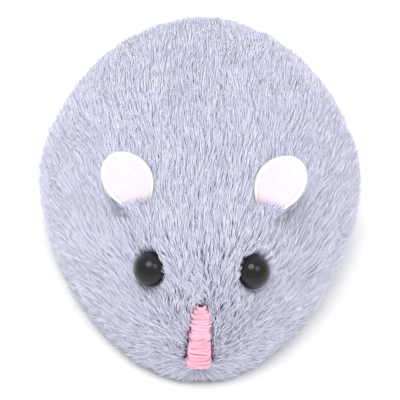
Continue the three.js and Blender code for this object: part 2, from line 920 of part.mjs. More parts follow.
add("pelt", pelt(), plush);
add("pelt_hem", peltHem(), hemCloth);
add("body_shell", bodyShell(), greyPlastic);
add("base_plate", basePlate(), greyPlastic);
add("tail", tail(), hemCloth);
add("nose_stitch", noseBand(0, noseThickness, noseHalfWidth, noseBottomZ, noseTopZ), pinkThread);

for (const [sideName, side] of [["left", -1], ["right", 1]]) {
  placeEarPiece(add(`ear_${sideName}`, ear, whiteFelt), side);
  placeEarPiece(add(`ear_lining_${sideName}`, earLining, pinkFelt), side);
  placeEyePiece(add(`eye_${sideName}`, eyeBead(), blackBead), side);
  placeEyePiece(add(`eye_washer_${sideName}`, eyeWasher(), whitePlastic), side);
}

const baseScrewLength = bossHoleTop - plateBottom - screwTipRoom;
for (const { name, x, forward } of baseScrewsAt) {
  add(name, screw(baseScrewLength), steel).position.set(x, centreY - forward, plateBottom);
}
const boxScrewLength = footHoleTop - plateBottom - screwTipRoom;
for (const { name, x, forward } of boxScrewsAt) {
  add(name, screw(boxScrewLength), steel).position.set(x, centreY - forward, plateBottom);
}

add("gearbox_case", gearboxCase(), whitePlastic);
add("gearbox_cover", gearboxCover(), whitePlastic);
const caseScrewHeadX = boxRightX + fitClearance + screwHeadHeight;
for (const { name, forward, z } of caseScrewsAt) {
  const caseScrew = add(name, screw(caseScrewLength), steel);
  caseScrew.position.set(caseScrewHeadX, centreY - forward, z);
  caseScrew.rotation.y = -Math.PI / 2;
}

const arborGroup = shaftGroup(arborAt);
add("mainspring", mainspring(), springSteel, arborGroup);
add("winding_arbor", shaft(arborRadius, boxLeftX - 0.6, arborEndX), steel, arborGroup);
const greatGear = toothedWheel(greatGearX, arborRadius + fitClearance);
add("great_gear", greatGear, whitePlastic, arborGroup).rotation.x = towardsIdler;
add("winding_key", windingKey(), whitePlastic, arborGroup);

const idlerGroup = shaftGroup(idlerAt);
add("idler_shaft", shaft(shaftRadius, boxLeftX + 0.1, boxRightX - 0.1), steel, idlerGroup);
add("idler_gear", idlerGear(), whitePlastic, idlerGroup);

const axleGroup = shaftGroup(axleAt);
const axleEndX = wheelInnerX + wheelWidth - 2 * fitClearance;
add("rear_axle", shaft(axleRadius, -axleEndX, axleEndX), steel, axleGroup);
const axlePinion = pinion(axlePinionX, axleRadius + fitClearance);
add("axle_pinion", axlePinion, whitePlastic, axleGroup).rotation.x = gapFacing(towardsAxle);

for (const [sideName, side] of [["left", -1], ["right", 1]]) {
  const corner = new THREE.Group();
  corner.position.x = side * wheelInnerX;
  corner.rotation.z = side < 0 ? Math.PI : 0;
  axleGroup.add(corner);
  add(`wheel_${sideName}`, wheelHub(), whitePlastic, corner);
  add(`tyre_${sideName}`, tyre(), blackRubber, corner);
}

const rollerGroup = shaftGroup({ forward: rollerForward, z: rollerRadius });
add("front_roller", frontRoller(), whitePlastic, rollerGroup);
const rollerAxleEndX = yokeInnerX + yokeThickness - fitClearance;
add("front_axle", shaft(rollerAxleRadius, -rollerAxleEndX, rollerAxleEndX), steel, rollerGroup);

export default mouse;
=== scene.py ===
import json
import math

import bmesh
import bpy
import numpy as np
from mathutils import Matrix, Vector
from mathutils.kdtree import KDTree


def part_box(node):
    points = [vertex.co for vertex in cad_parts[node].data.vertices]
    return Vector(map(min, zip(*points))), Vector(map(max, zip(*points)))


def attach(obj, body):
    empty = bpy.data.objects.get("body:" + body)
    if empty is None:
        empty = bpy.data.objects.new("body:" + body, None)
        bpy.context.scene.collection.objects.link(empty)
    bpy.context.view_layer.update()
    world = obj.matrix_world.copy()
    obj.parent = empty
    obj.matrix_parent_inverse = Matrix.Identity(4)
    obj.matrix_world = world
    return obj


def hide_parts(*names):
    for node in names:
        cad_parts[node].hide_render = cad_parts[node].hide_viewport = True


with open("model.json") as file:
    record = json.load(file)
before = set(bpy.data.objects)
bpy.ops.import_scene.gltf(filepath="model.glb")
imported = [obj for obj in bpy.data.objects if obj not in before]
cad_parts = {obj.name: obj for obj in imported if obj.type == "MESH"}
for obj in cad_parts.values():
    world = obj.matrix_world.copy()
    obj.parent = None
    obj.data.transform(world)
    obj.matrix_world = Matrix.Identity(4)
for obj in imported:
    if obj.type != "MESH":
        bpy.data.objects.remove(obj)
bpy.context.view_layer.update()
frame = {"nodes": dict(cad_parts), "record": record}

MM = 0.001

# ------------------------------------------------------------------ the body's dome
# The same dome as the CAD pelt: a half circle behind the centre, tapered ahead of it.

pelt_low, pelt_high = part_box("pelt")
REAR = pelt_high[0]
CENTRE_Y = pelt_high[1] - REAR
NOSE = CENTRE_Y - pelt_low[1]
EQUATOR = 12 * MM
HEIGHT = pelt_high[2] - EQUATOR
RIM_Z = pelt_low[2]
NOSE_POWER = 1.28
DOME_POWER = 1.75
TUCK_IN = 0.05
RIM_SHARE = 0.22

BACKING_INSET = 2 * MM
BACKING_THICKNESS = 1.2 * MM


def section(share, inset):
    """Height and plan scale of the dome from its rim, share 0, to its top, share 1."""
    share = np.asarray(share, float)
    low = share < RIM_SHARE
    turn = np.clip((share - RIM_SHARE) / (1 - RIM_SHARE), 0, 1) * math.pi / 2
    z_low = RIM_Z + (EQUATOR - RIM_Z) * share / RIM_SHARE
    z_high = EQUATOR + (HEIGHT - inset) * np.sin(turn) ** (2 / DOME_POWER)
    scale_low = 1 - TUCK_IN * ((EQUATOR - z_low) / (EQUATOR - RIM_Z)) ** 2
    scale_high = np.cos(turn) ** (2 / DOME_POWER)
    return np.where(low, z_low, z_high), np.where(low, scale_low, scale_high)


def dome(angle, share, inset):
    """Points of the dome drawn in by an inset; angle 0 is straight ahead, at the nose."""
    angle = np.asarray(angle, float)
    z, scale = section(share, inset)
    ahead = np.cos(angle)
    taper = np.clip(ahead, 0, 1) ** (2 / NOSE_POWER)
    forward = np.where(ahead > 0, (NOSE - inset) * taper, (REAR - inset) * ahead)
    x = scale * (REAR - inset) * np.sin(angle)
    return np.stack([x, CENTRE_Y - scale * forward, z + 0 * x], -1)


def dome_normal(angle, share, inset):
    """Outward directions on the dome, from small steps along it."""
    step = 1e-3
    share = np.clip(share, 2 * step, 1 - 3 * step)
    round_it = dome(angle + step, share, inset) - dome(angle - step, share, inset)
    up_it = dome(angle, share + step, inset) - dome(angle, share - step, inset)
    return unit(np.cross(round_it, up_it))


def unit(v):
    return v / np.maximum(np.linalg.norm(v, axis=-1, keepdims=True), 1e-12)


def smooth(edge0, edge1, value):
    t = np.clip((value - edge0) / (edge1 - edge0), 0, 1)
    return t * t * (3 - 2 * t)


FACE_HEIGHTS, FACE_SCALES = section(np.linspace(0, 1, 2001), 0)


def face_forward(x, z):
    """How far ahead of the body's centre the CAD pelt reaches, aside and at a height."""
    scale = float(np.interp(z, FACE_HEIGHTS, FACE_SCALES))
    aside = x / (scale * REAR)
    return scale * NOSE * max(0.0, 1 - aside * aside) ** (1 / NOSE_POWER)


def face_point(x, z):
    """A point on the front of the CAD pelt, at a distance aside and a height, and its normal."""
    step = 0.05 * MM
    slope_x = (face_forward(x + step, z) - face_forward(x - step, z)) / (2 * step)
    slope_z = (face_forward(x, z + step) - face_forward(x, z - step)) / (2 * step)
    normal = Vector((-slope_x, -1, -slope_z)).normalized()
    return Vector((x, CENTRE_Y - face_forward(x, z), z)), normal


# ------------------------------------------------------------------ places on the face

EYE_X = 9.1 * MM
EYE_Z = 22.8 * MM
EYE_RADIUS = 3 * MM
EYE_SINK = 0.6 * MM
EYE_STEM_RADIUS = 0.9 * MM
EYE_STEM_REACH = 8.5 * MM
EAR_X = 11.6 * MM
EAR_Z = 29.5 * MM
EAR_LENGTH = 10.8 * MM
EAR_HALF_WIDTH = 4.4 * MM
EAR_ROOT_HALF_WIDTH = 1.6 * MM
EAR_TAB = 2.2 * MM
EAR_TRIM = 0.95
EAR_LEAN_BACK = math.radians(38)
EAR_LEAN_OUT = math.radians(18)
NOSE_HALF_WIDTH = 1.9 * MM
NOSE_LOW, NOSE_HIGH = (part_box("nose_stitch")[i][2] for i in (0, 1))
key_low, key_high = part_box("winding_key")
KEY_AT = np.array([(key_low[i] + key_high[i]) / 2 for i in range(3)])
KEYHOLE_RADIUS = 6 * MM

SIDES = (("left", -1), ("right", 1))
eyes = {side_name: face_point(side * EYE_X, EYE_Z) for side_name, side in SIDES}
ears = {}
for side_name, side in SIDES:
    point, _ = face_point(side * EAR_X, EAR_Z)
    turn = Matrix.Rotation(math.pi / 2 - EAR_LEAN_BACK, 4, "X")
    lean = Matrix.Rotation(-side * EAR_LEAN_OUT, 4, "Z")
    ears[side_name] = Matrix.Translation(point) @ turn @ lean


# ------------------------------------------------------------------ materials


def new_material(name, **values):
    """A Principled material with plain values on its own sockets."""
    material = bpy.data.materials.new(name)
    material.use_nodes = True
    shader = material.node_tree.nodes["Principled BSDF"]
    for socket, value in values.items():
        shader.inputs[socket.replace("_", " ")].default_value = value
    return material, material.node_tree, shader


def rgba(colour):
    return (*colour, 1)


def node(tree, kind, **inputs):
    made = tree.nodes.new(kind)
    for name, value in inputs.items():
        made.inputs[name.replace("_", " ")].default_value = value
    return made


def coordinates(tree, stretch=(1, 1, 1)):
    """The object's own coordinates in metres, stretched along its axes."""
    source = tree.nodes.new("ShaderNodeTexCoord")
    mapping = tree.nodes.new("ShaderNodeMapping")
    mapping.inputs["Scale"].default_value = stretch
    tree.links.new(source.outputs["Object"], mapping.inputs["Vector"])
    return mapping.outputs["Vector"]


def noise(tree, vector, scale, detail=3, roughness=0.5):
    made = node(tree, "ShaderNodeTexNoise", Scale=scale, Detail=detail, Roughness=roughness)
    tree.links.new(vector, made.inputs["Vector"])
    return made.outputs["Fac"]


def ramp(tree, factor, stops):
    made = tree.nodes.new("ShaderNodeValToRGB")
    elements = made.color_ramp.elements
    while len(elements) < len(stops):
        elements.new(0.5)
    for element, (position, colour) in zip(elements, stops):
        element.position = position
        element.color = rgba(colour)
    tree.links.new(factor, made.inputs["Fac"])
    return made.outputs["Color"]


def grey(value):
    return (value, value, value)


def bump(tree, shader, height, strength, distance):
    made = node(tree, "ShaderNodeBump", Strength=strength, Distance=distance)
    tree.links.new(height, made.inputs["Height"])
    tree.links.new(made.outputs["Normal"], shader.inputs["Normal"])


def two_tone(tree, shader, factor, dark, light, low=0.35, high=0.65):
    colour = ramp(tree, factor, [(low, dark), (high, light)])
    tree.links.new(colour, shader.inputs["Base Color"])


def varied_roughness(tree, shader, factor, low, high):
    value = ramp(tree, factor, [(0.3, grey(low)), (0.7, grey(high))])
    tree.links.new(value, shader.inputs["Roughness"])


def cloth(name, dark, light, fibre_scale, bump_height):
    """Felt or knitted backing: matted fibres with soft mottling."""
    material, tree, shader = new_material(
        name, Roughness=0.9, Sheen_Weight=0.25, Sheen_Roughness=0.5
    )
    vector = coordinates(tree)
    fibres = noise(tree, vector, fibre_scale, 6, 0.7)
    two_tone(tree, shader, fibres, dark, light)
    bump(tree, shader, fibres, 0.6, bump_height)
    return material


def moulded_plastic(name, dark, light, rough_low, rough_high):
    """Injection-moulded plastic with a fine spark-eroded grain and faint wear."""
    material, tree, shader = new_material(name, IOR=1.5)
    vector = coordinates(tree)
    wear = noise(tree, vector, 180, 5, 0.6)
    two_tone(tree, shader, wear, dark, light, 0.3, 0.7)
    varied_roughness(tree, shader, wear, rough_low, rough_high)
    bump(tree, shader, noise(tree, vector, 2500, 2), 0.15, 0.05 * MM)
    return material


def turned_steel(name, dark, light, rough_low, rough_high):
    """Steel with fine turning marks round its axis."""
    material, tree, shader = new_material(name, Metallic=1.0)
    vector = coordinates(tree, (1, 12, 12))
    marks = noise(tree, vector, 900, 4, 0.6)
    two_tone(tree, shader, marks, dark, light)
    varied_roughness(tree, shader, marks, rough_low, rough_high)
    bump(tree, shader, marks, 0.1, 0.02 * MM)
    return material


def rubber(name):
    """Black rubber with a little dust on it."""
    material, tree, shader = new_material(name, IOR=1.45)
    vector = coordinates(tree)
    dust = noise(tree, vector, 350, 6, 0.65)
    two_tone(tree, shader, dust, (0.012, 0.012, 0.013), (0.035, 0.034, 0.033), 0.4, 0.75)
    varied_roughness(tree, shader, dust, 0.65, 0.9)
    bump(tree, shader, dust, 0.25, 0.05 * MM)
    return material


def bead_gloss(name):
    """Polished black plastic with faint handling haze."""
    material, tree, shader = new_material(
        name, Base_Color=rgba((0.004, 0.004, 0.005)), IOR=1.4
    )
    vector = coordinates(tree)
    varied_roughness(tree, shader, noise(tree, vector, 500, 5, 0.7), 0.1, 0.24)
    bump(tree, shader, noise(tree, vector, 320, 2), 0.05, 0.02 * MM)
    return material


def thread(name):
    """Lustrous embroidery thread: fine twist lines across its run and slight dye variation."""
    material, tree, shader = new_material(
        name, Roughness=0.5, Sheen_Weight=0.3, Sheen_Roughness=0.35
    )
    vector = coordinates(tree)
    dye = noise(tree, vector, 420, 4, 0.6)
    two_tone(tree, shader, dye, (0.83, 0.37, 0.49), (0.92, 0.54, 0.66), 0.3, 0.7)
    twist = node(tree, "ShaderNodeTexWave", Scale=2400, Distortion=1.2, Detail=1)
    twist.bands_direction = "DIAGONAL"
    tree.links.new(vector, twist.inputs["Vector"])
    bump(tree, shader, twist.outputs["Fac"], 0.5, 0.04 * MM)
    return material


def satin_felt(name, dark, light):
    """Thin pressed felt for the ears: nearly smooth, with a close nap."""
    material, tree, shader = new_material(
        name, Roughness=0.7, Sheen_Weight=0.15, Sheen_Roughness=0.4
    )
    vector = coordinates(tree)
    nap = noise(tree, vector, 1400, 5, 0.65)
    two_tone(tree, shader, nap, dark, light, 0.3, 0.7)
    bump(tree, shader, nap, 0.35, 0.05 * MM)
    return material


FUR_MID = np.array([0.785, 0.79, 0.93])
FUR_TINTS = [0.93, 0.97, 1.0, 1.02, 1.04]
# The root colour is painted shade: darker and more violet than the pile, standing in for the shade
# between the hairs.
FUR_ROOT_PAINTED_SHADE = np.array([0.68, 0.67, 0.89])
# The tips are painted light: their colour is a little lighter than the middle of each hair.
TIP_PAINTED_LIGHT = 1.04


def fur_materials():
    """Root, then a middle and a tip shade for each tint of hair: the root colour is painted shade,
    darker and more violet like the shade between the hairs, and the tip colour is painted light, a
    little lighter than the middle.
    """
    made = []
    shades = [("fur_root_painted_shade", FUR_ROOT_PAINTED_SHADE)]
    for number, tint in enumerate(FUR_TINTS):
        shades.append((f"fur_mid_{number}", FUR_MID * tint))
        shades.append((f"fur_tip_painted_light_{number}", FUR_MID * tint * TIP_PAINTED_LIGHT))
    for name, colour in shades:
        colour = np.clip(colour, 0, 0.95)
        material, _, _ = new_material(
            name,
            Base_Color=rgba(tuple(float(c) for c in colour)),
            Roughness=0.75,
            Specular_IOR_Level=0.15,
        )
        made.append(material)
    return made


looks = {
    # The backing's lavender is partly its own colour and partly painted shade: it is darker and more
    # violet than the pile, like the shade between the hairs.
    "backing": cloth("plush_backing", (0.62, 0.61, 0.84), (0.7, 0.69, 0.9), 900, 0.2 * MM),
    "hem_cloth": cloth("hem_cloth", (0.4, 0.39, 0.52), (0.54, 0.53, 0.67), 1200, 0.15 * MM),
    "tail_felt": cloth("tail_felt", (0.52, 0.51, 0.64), (0.66, 0.65, 0.79), 1100, 0.15 * MM),
    "ear_felt": satin_felt("ear_felt", (0.76, 0.75, 0.76), (0.82, 0.81, 0.82)),
    "ear_lining": satin_felt("ear_lining", (0.7, 0.58, 0.66), (0.76, 0.66, 0.73)),
    "nose_thread": thread("nose_thread"),
    "eye_bead": bead_gloss("eye_bead"),
    "body_plastic": moulded_plastic("body_plastic", (0.2, 0.2, 0.25), (0.26, 0.26, 0.31), 0.4, 0.6),
    "gear_plastic": moulded_plastic("gear_plastic", (0.7, 0.68, 0.63), (0.82, 0.8, 0.76), 0.32, 0.5),
    "tyre_rubber": rubber("tyre_rubber"),
    "steel": turned_steel("steel", (0.42, 0.43, 0.45), (0.62, 0.63, 0.65), 0.22, 0.4),
    "spring_steel": turned_steel("spring_steel", (0.1, 0.14, 0.24), (0.2, 0.24, 0.34), 0.25, 0.42),
}


# ------------------------------------------------------------------ making pieces


def add_object(name, mesh, *materials):
    made = bpy.data.objects.new(name, mesh)
    bpy.context.scene.collection.objects.link(made)
    for material in materials:
        mesh.materials.append(material)
    return made


def from_bmesh(name, bm, *materials):
    """A smooth-shaded object made from a bmesh, which is freed."""
    mesh = bpy.data.meshes.new(name)
    bmesh.ops.recalc_face_normals(bm, faces=bm.faces)
    bm.to_mesh(mesh)
    bm.free()
    shade_smooth(mesh)
    return add_object(name, mesh, *materials)


def shade_smooth(mesh):
    for face in mesh.polygons:
        face.use_smooth = True


def apply_modifiers(piece):
    """Puts a piece's modifiers into its mesh."""
    graph = bpy.context.evaluated_depsgraph_get()
    mesh = bpy.data.meshes.new_from_object(piece.evaluated_get(graph))
    piece.modifiers.clear()
    piece.data = mesh
    shade_smooth(mesh)


def round_edges(piece, width):
    """A small bevel on the edges that turn sharply."""
    edge = piece.modifiers.new("edge", "BEVEL")
    edge.width = width
    edge.segments = 2
    edge.limit_method = "ANGLE"
    edge.angle_limit = math.radians(50)


def grid_mesh(bm, points, close_round=False):
    """Faces between rows of points, (rows, columns, 3)."""
    rows, columns = points.shape[:2]
    verts = [[bm.verts.new(Vector(points[r, c])) for c in range(columns)] for r in range(rows)]
    for r in range(rows - 1):
        for c in range(columns if close_round else columns - 1):
            d = (c + 1) % columns
            bm.faces.new((verts[r][c], verts[r][d], verts[r + 1][d], verts[r + 1][c]))
    return verts


def turned(name, profile, segments, place, axis_turn, *materials):
    """A solid of revolution about its own Z from (radius, z) points, then turned and placed."""
    bm = bmesh.new()
    rings = []
    for radius, z in profile:
        if radius < 1e-9:
            rings.append([bm.verts.new((0, 0, z))])
            continue
        ring = []
        for i in range(segments):
            angle = 2 * math.pi * i / segments
            ring.append(bm.verts.new((radius * math.cos(angle), radius * math.sin(angle), z)))
        rings.append(ring)
    for low, high in zip(rings, rings[1:]):
        for i in range(segments):
            j = (i + 1) % segments
            if len(low) == 1 and len(high) == 1:
                continue
            if len(low) == 1:
                bm.faces.new((low[0], high[j], high[i]))
            elif len(high) == 1:
                bm.faces.new((low[i], low[j], high[0]))
            else:
                bm.faces.new((low[i], low[j], high[j], high[i]))
    bmesh.ops.transform(bm, matrix=Matrix.Translation(place) @ axis_turn, verts=bm.verts)
    return from_bmesh(name, bm, *materials)


ALONG_X = Matrix.Rotation(math.pi / 2, 4, "Y")

# ------------------------------------------------------------------ pelt backing


def pelt_backing():
    """The plush's knitted backing, stretched over the shell, with its hole for the key."""
    angles = np.linspace(0, 2 * math.pi, 96, endpoint=False)
    shares = np.linspace(0, 0.985, 48)
    grid = dome(angles[None, :], shares[:, None], BACKING_INSET)
    bm = bmesh.new()
    verts = grid_mesh(bm, grid, close_round=True)
    top = bm.verts.new(Vector(dome(0.0, 1.0, BACKING_INSET)))
    for i in range(len(angles)):
        bm.faces.new((verts[-1][i], verts[-1][(i + 1) % len(angles)], top))
    piece = from_bmesh("pelt_backing", bm, looks["backing"])
    thicken = piece.modifiers.new("thickness", "SOLIDIFY")
    thicken.thickness = BACKING_THICKNESS
    thicken.offset = -1
    cutter_bm = bmesh.new()
    bmesh.ops.create_cone(
        cutter_bm,
        cap_ends=True,
        segments=48,
        radius1=KEYHOLE_RADIUS,
        radius2=KEYHOLE_RADIUS,
        depth=16 * MM,
        matrix=Matrix.Translation(KEY_AT) @ ALONG_X,
    )
    cutter = from_bmesh("keyhole_cutter", cutter_bm)
    hole = piece.modifiers.new("keyhole", "BOOLEAN")
    hole.operation = "DIFFERENCE"
    hole.object = cutter
    hole.solver = "EXACT"
    apply_modifiers(piece)
    bpy.data.objects.remove(cutter)
    return piece


backing = pelt_backing()
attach(backing, "chassis")

# ------------------------------------------------------------------ fur

HAIR_COUNT = 130000
HAIR_LENGTH = 4.8 * MM
HAIR_WIDTH = 0.08 * MM
HAIR_LIFT = 1.95 * MM
CLUMP_COUNT = 9000
CLUMP_PULL = 0.42
FLOW_FROM = np.array([0, CENTRE_Y - 0.88 * NOSE, 5 * MM])
FUR_BANDS = [
    "snout", "muzzle", "cheeks", "face", "brow", "ears",
    "crown", "withers", "back", "loin", "haunch", "rump",
]


def scatter(count, rng):
    """Angles and shares of points spread over the dome, closer together round the nose."""
    angle_steps, share_steps = 256, 160
    angles = np.linspace(0, 2 * math.pi, angle_steps + 1)
    shares = np.linspace(0.004, 0.998, share_steps + 1)
    corners = dome(angles[None, :], shares[:, None], BACKING_INSET)
    across = corners[:-1, 1:] - corners[:-1, :-1]
    up = corners[1:, :-1] - corners[:-1, :-1]
    area = np.linalg.norm(np.cross(across, up), axis=-1).ravel()
    middles = (corners[:-1, :-1] + corners[1:, 1:]).reshape(-1, 3) / 2
    from_nose = np.linalg.norm(middles - FLOW_FROM, axis=1)
    density = 1 + 1.6 * np.exp(-((from_nose / (9 * MM)) ** 2)) + 1.5 * near_eye(middles)
    total = np.cumsum(area * density)
    picks = (np.arange(count) + rng.random(count)) / count * total[-1]
    cells = np.searchsorted(total, picks).clip(0, area.size - 1)
    row, column = np.divmod(cells, angle_steps)
    angle = angles[column] + rng.random(count) * (angles[1] - angles[0])
    share = shares[row] + rng.random(count) * (shares[1] - shares[0])
    return angle, share


def near_eye(points):
    """How near points are to an eye's edge, from 1 at the bead to 0 well away from it."""
    share = np.zeros(len(points))
    for point, normal in eyes.values():
        _, away = near_axis(points, point, normal)
        share = np.maximum(share, 1 - smooth(EYE_RADIUS, 1.6 * EYE_RADIUS, away))
    return share


def wave_noise(points, scale, rng):
    """A smooth random field about 0: a sum of sine waves in random directions."""
    waves = 24
    directions = unit(rng.normal(size=(waves, 3))) * (2 * math.pi / scale)
    directions *= rng.uniform(0.5, 1.5, (waves, 1))
    phases = rng.uniform(0, 2 * math.pi, waves)
    return np.sin(points @ directions.T + phases).sum(axis=1) / math.sqrt(waves)


def lay(points, normals):
    """The direction in which the pile is brushed: back from the nose, down at the rump."""
    away = unit(points - FLOW_FROM)
    behind = smooth(-2 * MM, REAR, points[:, 1] - CENTRE_Y)
    down = np.array([0.0, 0.0, -1.0]) * (0.1 + 1.1 * behind[:, None])
    flow = away + down
    flow -= normals * np.sum(flow * normals, axis=1, keepdims=True)
    return unit(flow)


def turn_about(vectors, axes, angles):
    """Vectors turned about unit axes that they are square to."""
    cosine, sine = np.cos(angles)[:, None], np.sin(angles)[:, None]
    return vectors * cosine + np.cross(axes, vectors) * sine


def near_axis(points, origin, axis):
    """How far points lie along an axis from its origin, and how far away from it."""
    offset = points - np.array(origin)
    along = offset @ np.array(axis)
    away = np.linalg.norm(offset - along[..., None] * np.array(axis), axis=-1)
    return along, away


def in_ear(points, matrix, margin):
    """Whether points lie in the slab that an ear fills, from its root up."""
    inverse = np.array(matrix.inverted())
    local = points @ inverse[:3, :3].T + inverse[:3, 3]
    height = np.clip(local[..., 1] / EAR_LENGTH, 0, 1)
    half = ear_half_width(height) + margin
    above = local[..., 2] - ear_dip(local[..., 1])
    thick = (above > -0.7 * MM) & (above < 2.6 * MM)
    inside = np.abs(local[..., 0]) < half
    return thick & inside & (local[..., 1] > 1.6 * MM) & (local[..., 1] < EAR_LENGTH)


def ear_dip(reach):
    """How far the ear's root drops back into the pelt at a distance along the ear."""
    return -2 * MM * (1 - smooth(-2.2 * MM, 2.6 * MM, reach))


def ear_half_width(height):
    """Half the width of the ear's petal at a share of its length."""
    widest = 0.52
    rise = np.sin(np.clip(height / widest, 0, 1) * math.pi / 2) ** 0.8
    low = EAR_ROOT_HALF_WIDTH + (EAR_HALF_WIDTH - EAR_ROOT_HALF_WIDTH) * rise
    fall = np.sqrt(np.clip(1 - ((height - widest) / (1 - widest)) ** 2, 0, 1))
    return np.where(height < widest, low, EAR_HALF_WIDTH * fall)


def nose_half_width(z):
    """Half the width of the nose's stitching, which narrows towards its top."""
    share = np.clip((z - NOSE_LOW) / (NOSE_HIGH - NOSE_LOW), 0, 1)
    return NOSE_HALF_WIDTH * (1.1 - 0.38 * share)


HAIR_STEPS = np.array([0.0, 0.36, 0.72, 1.0])
HAIR_WIDTHS = np.array([1.0, 0.9, 0.6])


def hair_paths(angle, share, rng):
    """Centre lines of the hairs, (hairs, steps, 3), and the surface normal at each root."""
    roots = dome(angle, share, BACKING_INSET)
    normals = dome_normal(angle, share, BACKING_INSET)
    count = len(roots)
    from_nose = np.abs(roots[:, 0]) + np.clip(roots[:, 1] - (CENTRE_Y - 0.9 * NOSE), 0, None)
    unruly = 0.12 + 0.4 * np.exp(-((from_nose / (3.2 * MM)) ** 2))
    swirl = 0.2 * wave_noise(roots, 9 * MM, rng) + 0.13 * wave_noise(roots, 3.5 * MM, rng)
    flow = turn_about(lay(roots, normals), normals, swirl + unruly * rng.normal(size=count))
    length = HAIR_LENGTH * np.clip(rng.normal(1.0, 0.16, count), 0.55, 1.6)
    short = 0.55 + 0.45 * smooth(0, 20 * MM, roots[:, 1] - (CENTRE_Y - NOSE))
    length *= short
    lift = HAIR_LIFT * np.clip(1 + 0.25 * rng.normal(size=count), 0.35, 2.0)
    lift *= 0.75 + 0.25 * short
    by_eye = near_eye(roots)
    length *= 1 - 0.45 * by_eye
    t = HAIR_STEPS[None, :, None]
    rise = (1 - (1 - t) ** 1.9) * lift[:, None, None]
    curve = (length[:, None, None] * t) ** 2 / (2 * REAR)
    run = length[:, None, None] * (0.25 * t + 0.75 * t ** 1.35)
    paths = roots[:, None] + flow[:, None] * run + normals[:, None] * (rise - curve)
    paths = clumped(paths, roots, rng)
    lowest = (0.7 + 0.5 * rng.random(count)[:, None]) * MM
    paths[..., 2] = np.maximum(paths[..., 2], lowest)
    return paths, normals


def clumped(paths, roots, rng):
    """Draws each hair's tip towards the hair at the middle of its tuft."""
    leaders = rng.choice(len(roots), CLUMP_COUNT, replace=False)
    tree = KDTree(CLUMP_COUNT)
    for number, leader in enumerate(leaders):
        tree.insert(Vector(roots[leader]), number)
    tree.balance()
    nearest = np.array([tree.find(Vector(root))[1] for root in roots])
    target = paths[leaders[nearest]]
    pull = CLUMP_PULL * HAIR_STEPS[None, :, None] ** 1.3
    pull = pull * np.clip(rng.normal(1.0, 0.35, len(roots)), 0.1, 1.5)[:, None, None]
    return paths + (target - paths) * np.clip(pull, 0, 0.95)


def lean_on_ears(paths, rng):
    """Hairs rooted in front of an ear bend up along its face in place of running into it."""
    for matrix in ears.values():
        inverse = np.array(matrix.inverted())
        local = paths @ inverse[:3, :3].T + inverse[:3, 3]
        half = ear_half_width(np.clip(local[..., 1] / EAR_LENGTH, 0, 1))
        aside = np.abs(local[..., 0]) / np.maximum(half, 0.1 * MM)
        near = (aside < 1) & (np.abs(local[..., 1]) < 3.4 * MM)
        near &= (local[:, :1, 1] < 1 * MM) & (local[..., 2] < 2.2 * MM)
        rest = (1.5 + 0.7 * rng.random(len(paths))[:, None]) * MM * (1 - smooth(0.5, 1, aside))
        rest += ear_dip(local[..., 1])
        local[..., 2] = np.where(near, np.maximum(local[..., 2], rest), local[..., 2])
        turned_back = np.array(matrix)
        back = local @ turned_back[:3, :3].T + turned_back[:3, 3]
        paths = np.where(near[..., None], back, paths)
    return paths


def blocked(paths):
    """Which hairs run through an eye, an ear or the nose, or hang over the keyhole."""
    hit = np.zeros(len(paths), bool)
    for point, normal in eyes.values():
        along, away = near_axis(paths, point - normal * EYE_SINK, normal)
        hit |= ((away < 0.95 * EYE_RADIUS) & (along > 0)).any(axis=1)
    for matrix in ears.values():
        hit |= in_ear(paths, matrix, 0.1 * MM).any(axis=1)
    in_front = paths[..., 1] < CENTRE_Y - 0.8 * NOSE
    beside = np.abs(paths[..., 0]) < nose_half_width(paths[..., 2]) - 0.2 * MM
    level = (paths[..., 2] > NOSE_LOW + 0.4 * MM) & (paths[..., 2] < NOSE_HIGH - 0.9 * MM)
    hit |= (in_front & beside & level).any(axis=1)
    _, from_key = near_axis(paths, KEY_AT, (1, 0, 0))
    hit |= ((from_key < KEYHOLE_RADIUS - 0.9 * MM) & (paths[..., 0] > 0)).any(axis=1)
    return hit


def clear_of_parts(paths):
    """Shortens the hairs that run into a part, and says which hairs stand clear of them all."""
    for _ in range(3):
        hit = blocked(paths)
        paths[hit] = paths[hit, :1] + 0.62 * (paths[hit] - paths[hit, :1])
    roots = paths[:, 0]
    keep = ~blocked(paths)
    for point, normal in eyes.values():
        _, away = near_axis(roots, point, normal)
        keep &= away > 0.86 * EYE_RADIUS
    _, from_key = near_axis(roots, KEY_AT, (1, 0, 0))
    keep &= (from_key > KEYHOLE_RADIUS + 0.1 * MM) | (roots[:, 0] < 0)
    keep &= paths[..., 2].min(axis=1) > 0.5 * MM
    return keep


